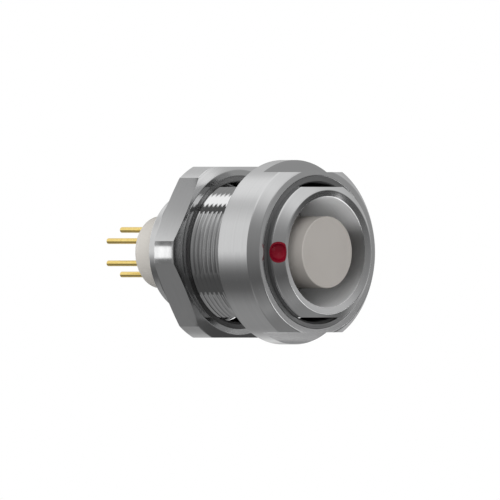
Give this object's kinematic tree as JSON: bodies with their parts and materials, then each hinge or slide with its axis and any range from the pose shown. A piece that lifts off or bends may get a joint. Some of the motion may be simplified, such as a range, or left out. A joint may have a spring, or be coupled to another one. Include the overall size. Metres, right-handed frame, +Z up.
{
  "type": "circular connector receptacle",
  "caption": "Round panel-mount push-pull connector receptacle with a bevelled nose, a flatted threaded shell, a round front nut, a hex rear nut and straight gilt solder tails.",
  "frame": {"origin": "on the connector's axis, in the panel plane, which is the rear face of the round front nut", "axes": "+X forward along the axis to the mating face, +Z up and square to the shell's flats, -Y to the side of the red dot"},
  "size_m": [0.032, 0.0206, 0.0205],
  "materials": {
    "plated_shell": "satin nickel and chromium plate over brass",
    "plated_nut": "satin nickel plate over brass",
    "red_enamel": "glossy red enamel",
    "front_polymer": "warm grey engineering polymer, matt",
    "rear_polymer": "pale grey engineering polymer, matt",
    "spring_metal": "nickel plated spring bronze",
    "gilt_contact": "bright gilt plate"
  },
  "bodies": {
    "shell": {"threaded_shell": "plated_shell", "alignment_dot": "red_enamel", "front_insulator": "front_polymer", "rear_insulator": "rear_polymer", "earthing_crown": "spring_metal", "insert_retaining_ring": "plated_shell", "contact_1": "gilt_contact", "contact_2": "gilt_contact", "contact_3": "gilt_contact", "contact_4": "gilt_contact", "contact_5": "gilt_contact", "contact_6": "gilt_contact"},
    "front_nut": {"round_front_nut": "plated_nut"},
    "rear_nut": {"hex_rear_nut": "plated_nut"}
  },
  "joints": [
    {"name": "front_nut_travel", "type": "slide", "parent": "shell", "child": "front_nut", "axis": [1, 0, 0], "range_m": [0, 0.008]},
    {"name": "rear_nut_travel", "type": "slide", "parent": "shell", "child": "rear_nut", "axis": [1, 0, 0], "range_m": [-0.002, 0.006]}
  ]
}
